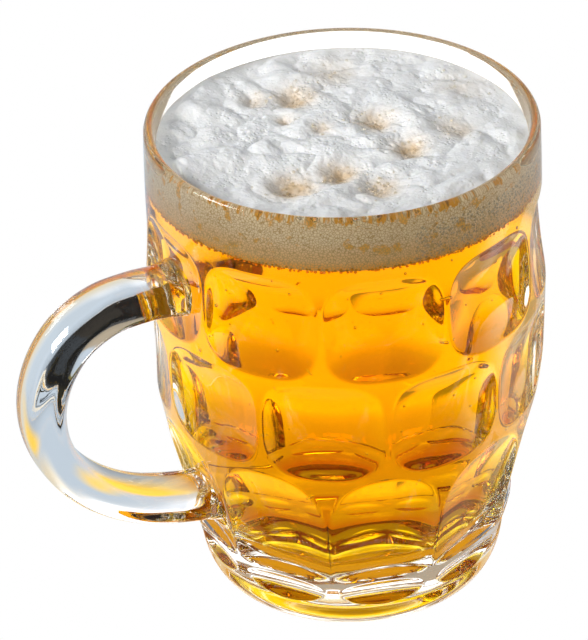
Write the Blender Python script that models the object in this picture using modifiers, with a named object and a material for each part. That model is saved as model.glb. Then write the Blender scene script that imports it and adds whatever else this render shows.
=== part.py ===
"""A pint of lager: a dimpled pressed-glass mug with one handle, the beer in it and the head of foam.

Three solids, all in metres with +Z up. The origin is the middle of the flat underside, and the handle
points along -X. The mug and its handle are one piece of glass. The beer and the foam rest in it.
"""
import math

import bmesh
import bpy
from mathutils import Vector

MM = 0.001

# Overall sizes of the mug
MUG_HEIGHT = 130.0 * MM
RIM_WALL = 2.5 * MM
FOOT_EDGE = 1.5 * MM
# Outside of the mug before the dimples are pressed in: heights above the underside, and radii there
OUTSIDE_HEIGHTS = [h * MM for h in (0.0, 2.5, 5.5, 8.0, 14.2, 26.4, 45.7, 66.0, 86.3, 106.6, 123.9, 130.0)]
OUTSIDE_RADII = [r * MM for r in (38.2, 39.9, 40.7, 41.1, 42.4, 44.9, 48.7, 51.05, 51.2, 49.9, 49.3, 49.0)]
# Inside of the mug above its bowl-shaped bottom
INSIDE_HEIGHTS = [h * MM for h in (32.0, 55.0, 70.0, 85.0, 100.0, 113.0, 130.0)]
INSIDE_RADII = [r * MM for r in (38.0, 41.3, 42.7, 43.5, 44.4, 45.6, 46.5)]
BOWL_FLOOR = 10.8 * MM
BOWL_POWER = 3.3
BOWL_TAPER = 0.2

# Dimples: ten to a row, each row turned half a dimple from the next
DIMPLES_IN_ROW = 10
PITCH = math.tau / DIMPLES_IN_ROW
COLUMNS_IN_CELL = 8
COLUMNS = DIMPLES_IN_ROW * COLUMNS_IN_CELL
LEVELS_IN_CELL = 8
RING_SIZES = (0.0, 0.45, 0.8, 1.0)
UPPER_ROW = (84.6 * MM, 113.6 * MM)
MIDDLE_ROW = (54.8 * MM, 84.6 * MM)
PANEL_ROW = (18.0 * MM, 54.8 * MM)
OVAL_ROW = (7.4 * MM, 18.0 * MM)
RIB = 1.3 * MM
PANEL_RIB = 0.5 * MM
DIMPLE_DEPTH = 3.3 * MM
DIMPLE_POWER = 3.2
DIMPLE_BOWL = 2.4
PANEL_DEPTH = 3.6 * MM
PANEL_SILL_SHARE = 0.75
PANEL_ARCH_POWER = 2.3
PANEL_SPRING = 36.0 * MM
PANEL_SILL_RISE = 0.8 * MM
PANEL_SILL_START = 0.5 * MM
PANEL_SILL_BLEND = 1.2 * MM
OVAL_DEPTH = 1.9 * MM
OVAL_MIDDLE = 12.4 * MM
OVAL_HALF_HEIGHT = 4.3 * MM
OVAL_HALF_ANGLE = math.radians(15.5)

# Handle: the middle line of the glass bar, as distances from the mug's axis and heights
HANDLE_LINE = [(x * MM, z * MM) for x, z in (
    (45.4, 96.4), (51.0, 96.7), (59.0, 97.3), (68.0, 96.6), (76.5, 92.6), (82.6, 85.6), (86.0, 77.0),
    (86.5, 68.0), (84.4, 59.2), (79.6, 50.4), (72.2, 42.4), (62.6, 36.0), (51.5, 31.9), (39.8, 29.1))]
HANDLE_HALF_THICKNESS = 5.1 * MM
HANDLE_HALF_WIDTH = 7.6 * MM
HANDLE_FLARE = 0.22
HANDLE_FLARE_LENGTH = 9.0 * MM
HANDLE_STEPS_BETWEEN = 3
HANDLE_SIDES = 16
HANDLE_OUTER_POWER = 2.4
HANDLE_INNER_POWER = 4.0

# Drink
FIT_GAP = 0.3 * MM
BEER_TOP = 115.0 * MM
BEER_COLUMNS = 40
FOAM_LEVEL = 124.3 * MM
FOAM_CONTACT_RISE = 0.7 * MM
FOAM_CONTACT_WIDTH = 3.0 * MM
FOAM_COLUMNS = 60
FOAM_RINGS = 13
# Mounds and hollows of the foam: x, y, rise, half-width, all in millimetres
FOAM_RELIEF = (
    (-34.0, 6.0, 1.1, 9.0), (-28.0, 27.0, 0.9, 8.0), (-22.0, 2.0, 1.0, 4.5), (-26.0, -28.0, 0.9, 7.0),
    (-14.0, 38.0, 0.7, 6.0), (3.0, 13.0, 0.8, 6.5), (-5.0, -5.0, 0.7, 5.0), (4.0, -34.0, 0.8, 7.0),
    (24.0, -2.0, 0.6, 7.0), (28.0, 24.0, 0.5, 10.0), (20.0, -30.0, 0.7, 7.0), (-22.0, -15.0, -3.1, 5.0),
    (-9.0, -15.0, -2.5, 4.5), (0.0, 24.0, -2.4, 5.0), (-2.5, 6.0, -1.3, 2.6), (-8.0, 15.0, -1.4, 2.6),
    (11.0, 3.0, -2.2, 4.5), (11.5, -13.0, -2.6, 4.2), (26.0, -11.0, -1.4, 4.5), (-4.0, -26.0, -2.0, 4.5),
    (14.0, 30.0, -0.9, 6.0), (-10.0, 28.0, -1.2, 3.5), (38.0, 6.0, -0.7, 6.0), (-16.0, -38.0, -0.8, 4.0))


def smooth_between(heights, radii, height):
    """Radius at a height, by a cubic through the stations that never overshoots them."""
    count = len(heights)
    spans = [heights[i + 1] - heights[i] for i in range(count - 1)]
    slopes = [(radii[i + 1] - radii[i]) / spans[i] for i in range(count - 1)]
    tangents = [slopes[0]]
    for i in range(1, count - 1):
        before, after = slopes[i - 1], slopes[i]
        same_way = before * after > 0.0
        tangents.append(2.0 * before * after / (before + after) if same_way else 0.0)
    tangents.append(slopes[-1])
    height = min(max(height, heights[0]), heights[-1])
    i = max(k for k in range(count - 1) if heights[k] <= height)
    t = (height - heights[i]) / spans[i]
    rise = (3.0 - 2.0 * t) * t * t
    leave = t * (1.0 - t) * (1.0 - t) * spans[i]
    arrive = -t * t * (1.0 - t) * spans[i]
    return radii[i] + (radii[i + 1] - radii[i]) * rise + tangents[i] * leave + tangents[i + 1] * arrive


def outside_radius(height):
    return smooth_between(OUTSIDE_HEIGHTS, OUTSIDE_RADII, height)


def inside_radius(height):
    return smooth_between(INSIDE_HEIGHTS, INSIDE_RADII, height)


def smooth_step(value):
    value = min(max(value, 0.0), 1.0)
    return value * value * (3.0 - 2.0 * value)


def rounded_distance(across, up, power):
    """Distance from a cell's middle, 1 on the outline of a rounded square."""
    return (abs(across) ** power + abs(up) ** power) ** (1.0 / power)


def angle_in_cell(angle, turned):
    """Angle from the middle of the nearest cell of a row, which may be turned half a cell."""
    shifted = (angle - turned * PITCH / 2.0) / PITCH
    return (shifted - round(shifted)) * PITCH


def panel_sill(angle_off):
    """Height of the panels' lower edge, which rises in an arc between two ribs."""
    across = min(abs(angle_off) / (PITCH / 2.0), 1.0)
    return PANEL_ROW[0] + PANEL_SILL_RISE * (1.0 - across * across)


def dimple_depth(angle, height, row, turned):
    half_angle = PITCH / 2.0 - RIB / 2.0 / outside_radius(height)
    across = angle_in_cell(angle, turned) / half_angle
    up = (2.0 * height - row[0] - row[1]) / (row[1] - row[0] - RIB)
    distance = rounded_distance(across, up, DIMPLE_POWER)
    return DIMPLE_DEPTH * (1.0 - distance ** DIMPLE_BOWL) if distance < 1.0 else 0.0


def panel_depth(angle, height):
    """Depth of the tall lower panels: arched at the top, straight at the sides, an arc as sill."""
    angle_off = angle_in_cell(angle, 0)
    across = angle_off / (PITCH / 2.0 - PANEL_RIB / 2.0 / outside_radius(height))
    up = max(height - PANEL_SPRING, 0.0) / (PANEL_ROW[1] - PANEL_SPRING - RIB / 2.0)
    distance = rounded_distance(across, up, PANEL_ARCH_POWER)
    bowl = 1.0 - distance * distance if distance < 1.0 else 0.0
    to_spring = min(max(height - PANEL_ROW[0], 0.0) / (PANEL_SPRING - PANEL_ROW[0]), 1.0)
    deepest = PANEL_DEPTH * (PANEL_SILL_SHARE + (1.0 - PANEL_SILL_SHARE) * to_spring)
    above_sill = (height - panel_sill(angle_off) + PANEL_SILL_START) / PANEL_SILL_BLEND
    return deepest * bowl * smooth_step(above_sill)


def oval_depth(angle, height):
    across = angle_in_cell(angle, 0) / OVAL_HALF_ANGLE
    up = (height - OVAL_MIDDLE) / OVAL_HALF_HEIGHT
    return OVAL_DEPTH * max(1.0 - across * across - up * up, 0.0)


def pressed_depth(angle, height):
    upper = dimple_depth(angle, height, UPPER_ROW, 0)
    middle = dimple_depth(angle, height, MIDDLE_ROW, 1)
    return max(upper, middle, panel_depth(angle, height), oval_depth(angle, height))


def place_in_cell(angle, height, row, turned, power_above, power_below):
    """Move a point of the plain grid so that the grid's rings follow the outline of its dimple."""
    half_pitch = PITCH / 2.0
    across = angle_in_cell(angle, turned) / half_pitch
    middle_angle = angle - across * half_pitch
    up = (2.0 * height - row[0] - row[1]) / (row[1] - row[0])
    ring = max(abs(across), abs(up))
    if ring < 0.01 or ring > 0.99:
        return angle, height
    side_across, side_up = across / ring, up / ring
    size = RING_SIZES[round(ring * COLUMNS_IN_CELL / 2.0)]
    size = size / rounded_distance(side_across, side_up, power_above if up > 0.0 else power_below)
    half_angle = half_pitch - RIB / 2.0 / outside_radius(height)
    half_height = (row[1] - row[0] - RIB) / 2.0
    return (middle_angle + side_across * size * half_angle,
            (row[0] + row[1]) / 2.0 + side_up * size * half_height)


def lift_to_sill(angle, height):
    """Bend the straight level between the ovals and the panels into the sill's arcs."""
    rise = panel_sill(angle_in_cell(angle, 0)) - PANEL_ROW[0]
    if height >= PANEL_ROW[0]:
        return height + rise * (PANEL_ROW[1] - height) / (PANEL_ROW[1] - PANEL_ROW[0])
    return height + rise * (height - OVAL_ROW[0]) / (OVAL_ROW[1] - OVAL_ROW[0])


def press_dimples(mesh):
    """Move the outer wall's points onto the rings of their dimples, then press them in."""
    sharp_corner = 12.0
    for vertex in mesh.vertices:
        x, y, height = vertex.co
        radius = math.hypot(x, y)
        outside = radius > outside_radius(height) - 0.1 * MM
        if not outside or not OVAL_ROW[0] - 0.1 * MM < height < UPPER_ROW[1] + 0.1 * MM:
            continue
        angle = math.atan2(y, x)
        if height >= MIDDLE_ROW[1]:
            angle, height = place_in_cell(angle, height, UPPER_ROW, 0, DIMPLE_POWER, DIMPLE_POWER)
        elif height >= MIDDLE_ROW[0] - 0.01 * MM:
            angle, height = place_in_cell(angle, height, MIDDLE_ROW, 1, DIMPLE_POWER, DIMPLE_POWER)
        elif height >= PANEL_ROW[0] - 0.01 * MM:
            angle, height = place_in_cell(angle, height, PANEL_ROW, 0, PANEL_ARCH_POWER, sharp_corner)
            height = lift_to_sill(angle, height)
        else:
            angle, height = place_in_cell(angle, height, OVAL_ROW, 0, 2.0, 2.0)
            height = lift_to_sill(angle, height)
        radius = outside_radius(height) - pressed_depth(angle, height)
        vertex.co = (radius * math.cos(angle), radius * math.sin(angle), height)


def steps(first, last, count):
    return [first + (last - first) * i / count for i in range(count + 1)]


def bowl_points(gap, count):
    """The bowl-shaped bottom of the inside, from its spring line to the middle of the floor."""
    top = INSIDE_HEIGHTS[0]
    points = []
    for turn in steps(0.0, math.pi / 2.0, count)[1:]:
        down = math.sin(turn) ** (2.0 / BOWL_POWER)
        across = max(math.cos(turn), 0.0) ** (2.0 / BOWL_POWER)
        height = top - (top - BOWL_FLOOR - gap) * down
        points.append(((INSIDE_RADII[0] - gap - BOWL_TAPER * (top - height)) * across, height))
    points[-1] = (0.0, BOWL_FLOOR + gap)
    return points


def turned_mesh(name, profile, columns):
    """A profile in the XZ plane turned round the Z axis by a Screw modifier, as a plain mesh."""
    outline = bpy.data.meshes.new(name + "_profile")
    outline.from_pydata([(r, 0.0, z) for r, z in profile],
                        [(i, i + 1) for i in range(len(profile) - 1)], [])
    holder = bpy.data.objects.new(name + "_profile", outline)
    bpy.context.scene.collection.objects.link(holder)
    screw = holder.modifiers.new("Turn", "SCREW")
    screw.axis = "Z"
    screw.angle = math.tau
    screw.steps = columns
    screw.render_steps = columns
    screw.use_merge_vertices = True
    screw.merge_threshold = 0.00001
    evaluated = holder.evaluated_get(bpy.context.evaluated_depsgraph_get())
    mesh = bpy.data.meshes.new_from_object(evaluated)
    bpy.data.objects.remove(holder)
    mesh.name = name
    return mesh


def mug_profile():
    """From the middle of the inside floor up the inner wall, over the lip and down the outside."""
    lip = RIM_WALL / 2.0
    lip_middle = (OUTSIDE_RADII[-1] + INSIDE_RADII[-1]) / 2.0
    inner = [(inside_radius(h), h) for h in steps(INSIDE_HEIGHTS[0], MUG_HEIGHT - lip, 7)]
    over = [(lip_middle - lip * math.cos(t), MUG_HEIGHT - lip + lip * math.sin(t))
            for t in steps(0.0, math.pi, 6)[1:-1]]
    band = [(outside_radius(h), h) for h in steps(MUG_HEIGHT - lip, UPPER_ROW[1], 3)]
    rows = []
    for low, high in (UPPER_ROW, MIDDLE_ROW, PANEL_ROW, OVAL_ROW):
        rows += [(outside_radius(h), h) for h in steps(high, low, LEVELS_IN_CELL)[1:]]
    heel = [(outside_radius(h), h) for h in steps(OVAL_ROW[0], FOOT_EDGE, 2)[1:]]
    edge_middle = outside_radius(FOOT_EDGE) - FOOT_EDGE
    edge = [(edge_middle + FOOT_EDGE * math.cos(t), FOOT_EDGE - FOOT_EDGE * math.sin(t))
            for t in steps(0.0, math.pi / 2.0, 3)[1:]]
    return bowl_points(0.0, 6)[::-1] + inner + over + band + rows + heel + edge + [(0.0, 0.0)]


def point_on_line(points, position):
    """A smooth curve through the points; position counts them, with fractions between."""
    i = min(int(position), len(points) - 2)
    t = position - i
    start, end = Vector(points[i]), Vector(points[i + 1])
    before = Vector(points[i - 1]) if i > 0 else start * 2.0 - end
    after = Vector(points[i + 2]) if i + 2 < len(points) else end * 2.0 - start
    leave, arrive = (end - before) / 2.0, (after - start) / 2.0
    return (start * (2.0 * t ** 3 - 3.0 * t * t + 1.0) + leave * (t ** 3 - 2.0 * t * t + t)
            + end * (3.0 * t * t - 2.0 * t ** 3) + arrive * (t ** 3 - t * t))


def handle_section(middle, outward, swell):
    """One closed section of the bar: rounder outside, flatter towards the hand."""
    ring = []
    for k in range(HANDLE_SIDES):
        turn = math.tau * k / HANDLE_SIDES
        away, sideways = math.cos(turn), math.sin(turn)
        power = HANDLE_OUTER_POWER if away > 0.0 else HANDLE_INNER_POWER
        size = swell / rounded_distance(away, sideways, power)
        offset = outward * (away * size * HANDLE_HALF_THICKNESS)
        ring.append(Vector((-middle.x - offset.x, sideways * size * HANDLE_HALF_WIDTH, middle.y + offset.y)))
    return ring


def handle_sections():
    last = len(HANDLE_LINE) - 1
    count = last * HANDLE_STEPS_BETWEEN
    first_point, last_point = Vector(HANDLE_LINE[0]), Vector(HANDLE_LINE[-1])
    sections = []
    for step in range(count + 1):
        position = step / HANDLE_STEPS_BETWEEN
        middle = point_on_line(HANDLE_LINE, position)
        ahead = point_on_line(HANDLE_LINE, min(position + 0.02, last))
        behind = point_on_line(HANDLE_LINE, max(position - 0.02, 0.0))
        along = (ahead - behind).normalized()
        from_root = min((middle - first_point).length, (middle - last_point).length)
        near = max(1.0 - from_root / HANDLE_FLARE_LENGTH, 0.0)
        # at the roots the sections stand upright, as the wall that they run into does
        wall_way = Vector((1.0, 0.0)) if position < last / 2.0 else Vector((-1.0, 0.0))
        along = along.lerp(wall_way, smooth_step(near)).normalized()
        outward = Vector((-along.y, along.x))
        sections.append(handle_section(middle, outward, 1.0 + HANDLE_FLARE * near * near))
    return sections


def handle_mesh():
    """The bar as a loft through its sections, which change in size and in lean towards the roots."""
    cage = bmesh.new()
    rings = [[cage.verts.new(point) for point in ring] for ring in handle_sections()]
    for ring, after in zip(rings, rings[1:]):
        for k in range(HANDLE_SIDES):
            nxt = (k + 1) % HANDLE_SIDES
            cage.faces.new((ring[k], ring[nxt], after[nxt], after[k]))
    cage.faces.new(rings[0])
    cage.faces.new(rings[-1])
    bmesh.ops.recalc_face_normals(cage, faces=cage.faces)
    mesh = bpy.data.meshes.new("handle")
    cage.to_mesh(mesh)
    cage.free()
    return mesh


def make_object(name, mesh, material, collection):
    made = bpy.data.objects.new(name, mesh)
    collection.objects.link(made)
    mesh.materials.clear()
    mesh.materials.append(material)
    return made


def make_material(name, colour, roughness, transmission):
    material = bpy.data.materials.new(name)
    material.use_nodes = True
    shader = material.node_tree.nodes["Principled BSDF"]
    shader.inputs["Base Color"].default_value = (*colour, 1.0)
    shader.inputs["Roughness"].default_value = roughness
    shader.inputs["Metallic"].default_value = 0.0
    shader.inputs["Transmission Weight"].default_value = transmission
    return material


def make_mug(collection, material):
    """Turn the body, press the dimples, then fuse the handle to it in one solid."""
    mesh = turned_mesh("glass_mug", mug_profile(), COLUMNS)
    press_dimples(mesh)
    mug = make_object("glass_mug", mesh, material, collection)
    bar = make_object("handle", handle_mesh(), material, collection)
    union = mug.modifiers.new("Handle", "BOOLEAN")
    union.operation = "UNION"
    union.solver = "EXACT"
    union.object = bar
    evaluated = mug.evaluated_get(bpy.context.evaluated_depsgraph_get())
    fused = bpy.data.meshes.new_from_object(evaluated)
    mug.modifiers.clear()
    mug.data = fused
    fused.name = "glass_mug"
    bpy.data.objects.remove(bar)
    return mug


def make_beer(collection, material):
    """The beer fills the inside up to the foam, a hair clear of the glass."""
    wall = [(inside_radius(h) - FIT_GAP, h) for h in steps(INSIDE_HEIGHTS[0], BEER_TOP, 5)]
    profile = bowl_points(FIT_GAP, 5)[::-1] + wall + [(0.0, BEER_TOP)]
    mesh = turned_mesh("beer", profile[::-1], BEER_COLUMNS)
    return make_object("beer", mesh, material, collection)


def foam_height(x, y):
    """Top of the foam: soft mounds and hollows, and a small climb where it meets the glass."""
    height = FOAM_LEVEL
    for middle_x, middle_y, rise, half_width in FOAM_RELIEF:
        away = math.hypot(x / MM - middle_x, y / MM - middle_y) / half_width
        height += rise * MM * math.exp(-away * away)
    to_wall = inside_radius(FOAM_LEVEL) - math.hypot(x, y)
    return height + FOAM_CONTACT_RISE * math.exp(-to_wall / FOAM_CONTACT_WIDTH)


def make_foam(collection, material):
    bottom = BEER_TOP + FIT_GAP
    edge = inside_radius(BEER_TOP) - FIT_GAP
    side = [(inside_radius(h) - FIT_GAP, h) for h in steps(bottom, FOAM_LEVEL, 2)]
    top = [(radius, FOAM_LEVEL) for radius in steps(side[-1][0], 0.0, FOAM_RINGS)[1:]]
    profile = [(0.0, bottom), (edge / 2.0, bottom)] + side + top
    mesh = turned_mesh("foam_head", profile[::-1], FOAM_COLUMNS)
    for vertex in mesh.vertices:
        if vertex.co.z > FOAM_LEVEL - 0.01 * MM:
            vertex.co.z = foam_height(vertex.co.x, vertex.co.y)
    return make_object("foam_head", mesh, material, collection)


def main():
    for left_over in list(bpy.data.objects):
        bpy.data.objects.remove(left_over)
    collection = bpy.data.collections.new("pint_of_beer")
    bpy.context.scene.collection.children.link(collection)
    make_mug(collection, make_material("clear_glass", (0.95, 0.97, 0.97), 0.02, 1.0))
    make_beer(collection, make_material("golden_lager", (0.95, 0.55, 0.03), 0.05, 0.6))
    make_foam(collection, make_material("white_foam", (0.90, 0.88, 0.83), 0.75, 0.0))
    for made in collection.objects:
        made.data.shade_smooth()
        made.data.set_sharp_from_angle(angle=math.radians(35.0))


main()
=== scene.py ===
# %% [markdown]
# A pint of lager in a dimpled glass mug.
# The real thing is three materials inside one another: pressed clear glass, golden beer and a head of
# foam. Most of what the eye sees is light bent by the dimples and coloured by the beer, so the shape of
# the glass has to be right before any colour is. The CAD part gives the sizes, this script the looks.

# %% Load the frame
import math

import bmesh
import bpy
import numpy as np
from mathutils import Matrix, Vector


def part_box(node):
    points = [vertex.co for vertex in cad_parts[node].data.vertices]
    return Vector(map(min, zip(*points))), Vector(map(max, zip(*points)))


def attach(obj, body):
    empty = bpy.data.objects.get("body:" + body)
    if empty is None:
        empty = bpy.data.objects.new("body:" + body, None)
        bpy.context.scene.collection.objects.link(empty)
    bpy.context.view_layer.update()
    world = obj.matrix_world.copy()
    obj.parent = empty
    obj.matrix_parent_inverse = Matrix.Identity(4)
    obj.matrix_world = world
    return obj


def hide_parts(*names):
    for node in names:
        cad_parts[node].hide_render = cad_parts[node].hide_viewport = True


MM = 0.001
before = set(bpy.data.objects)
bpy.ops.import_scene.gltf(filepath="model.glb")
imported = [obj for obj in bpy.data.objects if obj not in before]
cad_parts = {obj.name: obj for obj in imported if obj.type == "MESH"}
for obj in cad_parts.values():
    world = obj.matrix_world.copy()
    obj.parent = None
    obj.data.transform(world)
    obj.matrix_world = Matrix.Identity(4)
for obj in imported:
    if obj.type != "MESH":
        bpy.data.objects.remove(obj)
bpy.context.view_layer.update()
mug_low, mug_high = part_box("glass_mug")
beer_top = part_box("beer")[1].z
foam_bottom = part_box("foam_head")[0].z
scene = bpy.context.scene
print(len(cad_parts), "nodes, the mug", [round(v / MM, 1) for v in mug_high - mug_low], "mm")

# %% [markdown]
# The camera stands where the photographer stood: above the mug, with the handle to the left. Its place
# was worked out from the ellipse of the rim and the spacing of the dimples. A long lens far away keeps
# the mug's sides nearly straight, as in a catalogue picture.

# %% Camera
CAMERA_PLACE = Vector((-264.7, -486.4, 438.3)) * MM
CAMERA_AIM = Vector((-11.0, 8.5, 68.8)) * MM
CAMERA_ROLL = math.radians(-2.27)
LENS = 143.95
SENSOR = 36.0


def make_camera():
    camera = bpy.data.objects.new("camera", bpy.data.cameras.new("camera"))
    scene.collection.objects.link(camera)
    look = (CAMERA_AIM - CAMERA_PLACE).to_track_quat("-Z", "Y").to_matrix()
    camera.rotation_euler = (look @ Matrix.Rotation(CAMERA_ROLL, 3, "Z")).to_euler()
    camera.location = CAMERA_PLACE
    camera.data.lens = LENS
    camera.data.sensor_width = SENSOR
    camera.data.clip_start = 0.01
    scene.camera = camera


make_camera()
print("camera", round((CAMERA_AIM - CAMERA_PLACE).length / MM), "mm away, lens", LENS, "mm")

# %% [markdown]
# Both walls of the mug are turned shapes. The outside is a barrel and the inside a plain cone with a
# bowl-shaped bottom, because the plunger that pressed it had to come out again. A few measured stations
# and a smooth cubic through them describe each wall.

# %% Walls of the mug
MUG_HEIGHT = mug_high.z
RIM_WALL = 2.5 * MM
FOOT_EDGE = 1.5 * MM
HOLLOW_RADII = (22.0 * MM, 35.0 * MM)
HOLLOW_DEPTH = 1.0 * MM
OUTSIDE_HEIGHTS = np.array((0.0, 2.5, 5.5, 8.0, 14.2, 26.4, 45.7, 66.0, 86.3, 106.6, 123.9, 130.0)) * MM
OUTSIDE_RADII = np.array((38.2, 39.9, 40.7, 41.1, 42.4, 44.9, 48.7, 51.05, 51.2, 49.9, 49.3, 49.0)) * MM
INSIDE_HEIGHTS = np.array((32.0, 55.0, 70.0, 85.0, 100.0, 113.0, 130.0)) * MM
INSIDE_RADII = np.array((38.0, 41.3, 42.7, 43.5, 44.4, 45.6, 46.5)) * MM
BOWL_FLOOR = 10.8 * MM
BOWL_POWER = 3.3
BOWL_TAPER = 0.2
print("belly", 2.0 * OUTSIDE_RADII.max() / MM, "mm, rim", 2.0 * OUTSIDE_RADII[-1] / MM, "mm")


def smooth_between(heights, radii, height):
    """Radius at a height, by a cubic through the stations that never overshoots them."""
    spans = np.diff(heights)
    slopes = np.diff(radii) / spans
    before, after = slopes[:-1], slopes[1:]
    same_way = before * after > 0.0
    inner = np.where(same_way, 2.0 * before * after / np.where(same_way, before + after, 1.0), 0.0)
    tangents = np.concatenate([slopes[:1], inner, slopes[-1:]])
    height = np.clip(height, heights[0], heights[-1])
    i = np.clip(np.searchsorted(heights, height, side="right") - 1, 0, len(spans) - 1)
    t = (height - heights[i]) / spans[i]
    rise = (3.0 - 2.0 * t) * t * t
    leave = t * (1.0 - t) ** 2 * spans[i]
    arrive = -t * t * (1.0 - t) * spans[i]
    return radii[i] + (radii[i + 1] - radii[i]) * rise + tangents[i] * leave + tangents[i + 1] * arrive


def outside_radius(height):
    return smooth_between(OUTSIDE_HEIGHTS, OUTSIDE_RADII, height)


def inside_radius(height):
    return smooth_between(INSIDE_HEIGHTS, INSIDE_RADII, height)


def bowl_points(reach, count):
    """The bottom of the inside from its spring line to the middle; reach pushes it into the glass."""
    turn = np.linspace(0.0, math.pi / 2.0, count + 1)[1:]
    down = np.sin(turn) ** (2.0 / BOWL_POWER)
    across = np.clip(np.cos(turn), 0.0, 1.0) ** (2.0 / BOWL_POWER)
    top = INSIDE_HEIGHTS[0]
    heights = top - (top - BOWL_FLOOR + reach) * down
    radii = (INSIDE_RADII[0] + reach - BOWL_TAPER * (top - heights)) * across
    radii[-1] = 0.0
    return list(zip(radii, heights))


# %% [markdown]
# A turned piece is a grid: one row of points for each level of the profile and one column for each step
# round the axis. Blender's Screw modifier would do it too. Here the grid is written out, because its
# points are moved onto the dimples' outlines before the glass is pressed, and that needs to know which
# row and column each point is in.

# %% Turned grids
def grid_mesh(name, radii, heights, angles):
    """A closed mesh from arrays [level, column]; the first and last level are single points."""
    levels, columns = radii.shape
    ring = np.stack([radii * np.cos(angles), radii * np.sin(angles), heights], -1)[1:-1].reshape(-1, 3)
    first = np.array([[0.0, 0.0, heights[0, 0]]])
    last = np.array([[0.0, 0.0, heights[-1, 0]]])
    points = np.concatenate([first, ring, last])
    here = np.arange(columns)
    nxt = (here + 1) % columns
    starts = 1 + columns * np.arange(levels - 3)[:, None]
    quads = np.stack([starts + here, starts + columns + here, starts + columns + nxt, starts + nxt], -1)
    bottom = 1 + columns * (levels - 3)
    end = len(points) - 1
    fans = [(0, 1 + a, 1 + b) for a, b in zip(here, nxt)]
    fans += [(end, bottom + b, bottom + a) for a, b in zip(here, nxt)]
    mesh = bpy.data.meshes.new(name)
    mesh.from_pydata(points.tolist(), [], quads.reshape(-1, 4).tolist() + fans)
    mesh.update()
    return mesh


def turned_grid(profile, columns):
    """Radii, heights and angles of a turned shape, as arrays [level, column]."""
    radii, heights = (np.array(row)[:, None] * np.ones(columns) for row in zip(*profile))
    return radii, heights, np.arange(columns) * math.tau / columns * np.ones_like(radii)


def turned_mesh(name, profile, columns):
    return grid_mesh(name, *turned_grid(profile, columns))


def wall_points(radius_of, low, high, count):
    heights = np.linspace(low, high, count + 1)
    return list(zip(radius_of(heights), heights))


def add_object(name, mesh):
    made = bpy.data.objects.new(name, mesh)
    scene.collection.objects.link(made)
    return made


def set_attribute(mesh, name, values):
    """Keep one number for each point, which a tree or a material can read by its name."""
    mesh.attributes.new(name, "FLOAT", "POINT").data.foreach_set("value", values.astype(float))


# %% [markdown]
# The dimples sit in cells, ten round the mug, each row turned half a cell from the next like bricks.
# A plain grid would cut across their round outlines and leave a jagged edge that the glass magnifies.
# So the grid's square rings in each cell are bent to follow the dimple: square at the cell's border,
# a rounded square on the dimple's edge.

# %% Cells of the dimples
DIMPLES = 10
PITCH = math.tau / DIMPLES
COLUMNS_IN_CELL = 36
COLUMNS = DIMPLES * COLUMNS_IN_CELL
UPPER_ROW = (84.6 * MM, 113.6 * MM)
MIDDLE_ROW = (54.8 * MM, 84.6 * MM)
PANEL_ROW = (18.0 * MM, 54.8 * MM)
OVAL_ROW = (7.4 * MM, 18.0 * MM)
RIB = 1.3 * MM
PANEL_RIB = 0.9 * MM
DIMPLE_POWER = 3.2
PANEL_ARCH_POWER = 2.3
SQUARE_POWER = 12.0
OVAL_POWER = 2.0
# Each row's cells: its heights, half cells turned, rib, and the outline's power above and below the middle
CELLS = ((UPPER_ROW, 0, RIB, DIMPLE_POWER, DIMPLE_POWER), (MIDDLE_ROW, 1, RIB, DIMPLE_POWER, DIMPLE_POWER),
         (PANEL_ROW, 0, PANEL_RIB, PANEL_ARCH_POWER, SQUARE_POWER),
         (OVAL_ROW, 0, RIB, OVAL_POWER, OVAL_POWER))
HAIR = 0.001 * MM
SILL_ZONE = (15.5 * MM, 21.5 * MM)
SILL_RISE = 0.8 * MM
RING_STOPS = (0.0, 0.58, 0.88, 1.0)
RING_SIZES = (0.0, 0.84, 1.04, 1.04)
print("cells", DIMPLES, "in a row,", round(PITCH * OUTSIDE_RADII.max() / MM, 1), "mm wide at the belly")


def place_in_cell(angle, height, row, turned, rib, power_above, power_below):
    """Bend the square rings of a cell's grid so that they follow the dimple's outline."""
    half_pitch = PITCH / 2.0
    shifted = (angle - turned * half_pitch) / PITCH
    across = (shifted - np.round(shifted)) * 2.0
    middle_angle = angle - across * half_pitch
    up = (2.0 * height - row[0] - row[1]) / (row[1] - row[0])
    ring = np.maximum(np.maximum(abs(across), abs(up)), 1e-6)
    side_across, side_up = across / ring, up / ring
    power = np.where(up > 0.0, power_above, power_below)
    rounding = (abs(side_across) ** power + abs(side_up) ** power) ** (1.0 / power)
    size = np.interp(ring, RING_STOPS, RING_SIZES) / np.maximum(rounding, 0.5)
    to_border = np.clip((ring - RING_STOPS[2]) / (1.0 - RING_STOPS[2]), 0.0, 1.0)
    half_angle = half_pitch - rib / 2.0 / outside_radius(height)
    new_across = side_across * (size * half_angle * (1.0 - to_border) + half_pitch * to_border)
    half_height = (row[1] - row[0]) / 2.0
    new_up = side_up * (size * (half_height - rib / 2.0) * (1.0 - to_border) + half_height * to_border)
    return middle_angle + new_across, (row[0] + row[1]) / 2.0 + new_up


def lift_to_sill(angle, height):
    """Bend the level between the ovals and the tall panels into one arc for each panel."""
    across = (angle / PITCH - np.round(angle / PITCH)) * 2.0
    rise = SILL_RISE * (1.0 - across * across)
    share_above = (PANEL_ROW[1] - height) / (PANEL_ROW[1] - PANEL_ROW[0])
    share_below = (height - OVAL_ROW[0]) / (OVAL_ROW[1] - OVAL_ROW[0])
    return height + rise * np.clip(np.where(height >= PANEL_ROW[0], share_above, share_below), 0.0, 1.0)


# %% [markdown]
# The cage is the mug before pressing: one closed profile turned round the axis, from the middle of the
# inside over the rim to the middle of the underside. The real underside is slightly hollow, so that the
# mug stands on a ring and doesn't rock. The wall gets most of the levels, because the dimples need them.

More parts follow.
